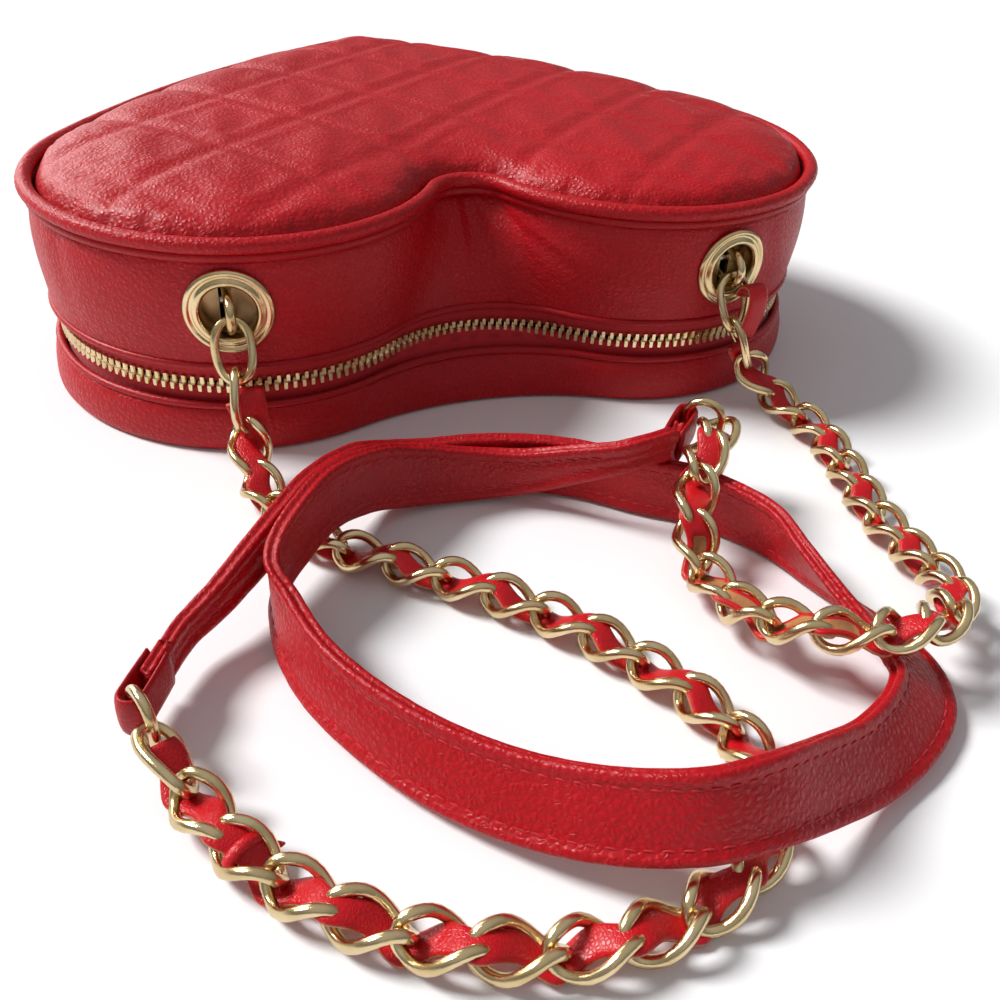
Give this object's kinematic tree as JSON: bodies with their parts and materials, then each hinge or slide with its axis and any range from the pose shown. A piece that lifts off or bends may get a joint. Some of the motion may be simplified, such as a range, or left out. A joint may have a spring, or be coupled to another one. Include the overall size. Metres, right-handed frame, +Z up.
{
  "type": "heart shaped purse",
  "caption": "Heart shaped shoulder purse in quilted red leather, lying on its back, with a zip round the gusset, brass eyelets and a chain strap laced with leather and ending in a shoulder pad",
  "frame": {"origin": "On the floor, in the middle of the outer face of the back panel: half way between the lobes, and half way from the tip to the tops of the lobes", "axes": "+Z up through the purse, from the back panel to the quilted front; +Y to the tip of the heart, so the lobes, the cleft and the strap are at -Y; +X to the right lobe seen from the strap's side"},
  "size_m": [0.2288, 0.346, 0.0649],
  "materials": {
    "leather": "pebbled red leather, semi matt",
    "leather_trim": "red leather turned over a cord, a little darker in the folds",
    "lace": "thin red leather lace with tan raw edges",
    "lining": "plain woven dark red cloth",
    "tape": "red woven zip tape",
    "board": "plain stiff bag board",
    "brass": "polished pale brass",
    "steel": "plain bright pin"
  },
  "bodies": {
    "back_shell": {"back_panel": "leather", "back_board": "board", "base_lining": "lining", "lower_band": "leather", "lower_lip": "leather_trim", "lower_lining": "lining", "lower_zip_tape": "tape", "lower_zip_teeth": "brass", "zip_end_stops": "brass", "tip_gusset": "leather"},
    "slider": {"zip_slider": "brass"},
    "puller": {"zip_puller": "brass"},
    "front_shell": {"front_panel": "leather", "front_board": "board", "panel_piping": "leather_trim", "seam_welt": "leather_trim", "upper_gusset": "leather", "upper_lip": "leather_trim", "upper_lining": "lining", "upper_zip_tape": "tape", "upper_zip_teeth": "brass", "left_eyelet": "brass", "right_eyelet": "brass", "left_eyelet_washer": "brass", "right_eyelet_washer": "brass", "stop_discs": "brass", "stop_pins": "steel", "anchor_links": "brass"},
    "hook_links": {"hook_links": "brass"},
    "strap": {"left_chain": "brass", "right_chain": "brass", "left_lace": "lace", "right_lace": "lace", "end_links": "brass", "shoulder_pad": "leather", "pad_folds": "leather_trim"}
  },
  "joints": [
    {"name": "lid", "type": "hinge", "parent": "back_shell", "child": "front_shell", "pos_m": [0, 0.092, 0.018], "axis": [-1, 0, 0], "range_deg": [0, 18]},
    {"name": "slider", "type": "hinge", "parent": "back_shell", "child": "slider", "pos_m": [-0.1502, -0.16703, 0.018], "axis": [0, 0, 1], "range_deg": [-18, 0]},
    {"name": "puller", "type": "hinge", "parent": "slider", "child": "puller", "pos_m": [0.02664, 0.07975, 0.018], "axis": [0, 0, 1], "range_deg": [0, 165]},
    {"name": "strap_lift", "type": "hinge", "parent": "front_shell", "child": "hook_links", "pos_m": [0, -0.09119, 0.04], "axis": [-1, 0, 0], "range_deg": [0, 70]},
    {"name": "strap_level", "type": "hinge", "parent": "hook_links", "child": "strap", "pos_m": [0, -0.09711, 0.02605], "axis": [-1, 0, 0], "range_deg": [-18, 0]}
  ],
  "couplings": [
    {"joint": "strap_level", "follows": "lid", "ratio": -1}
  ]
}
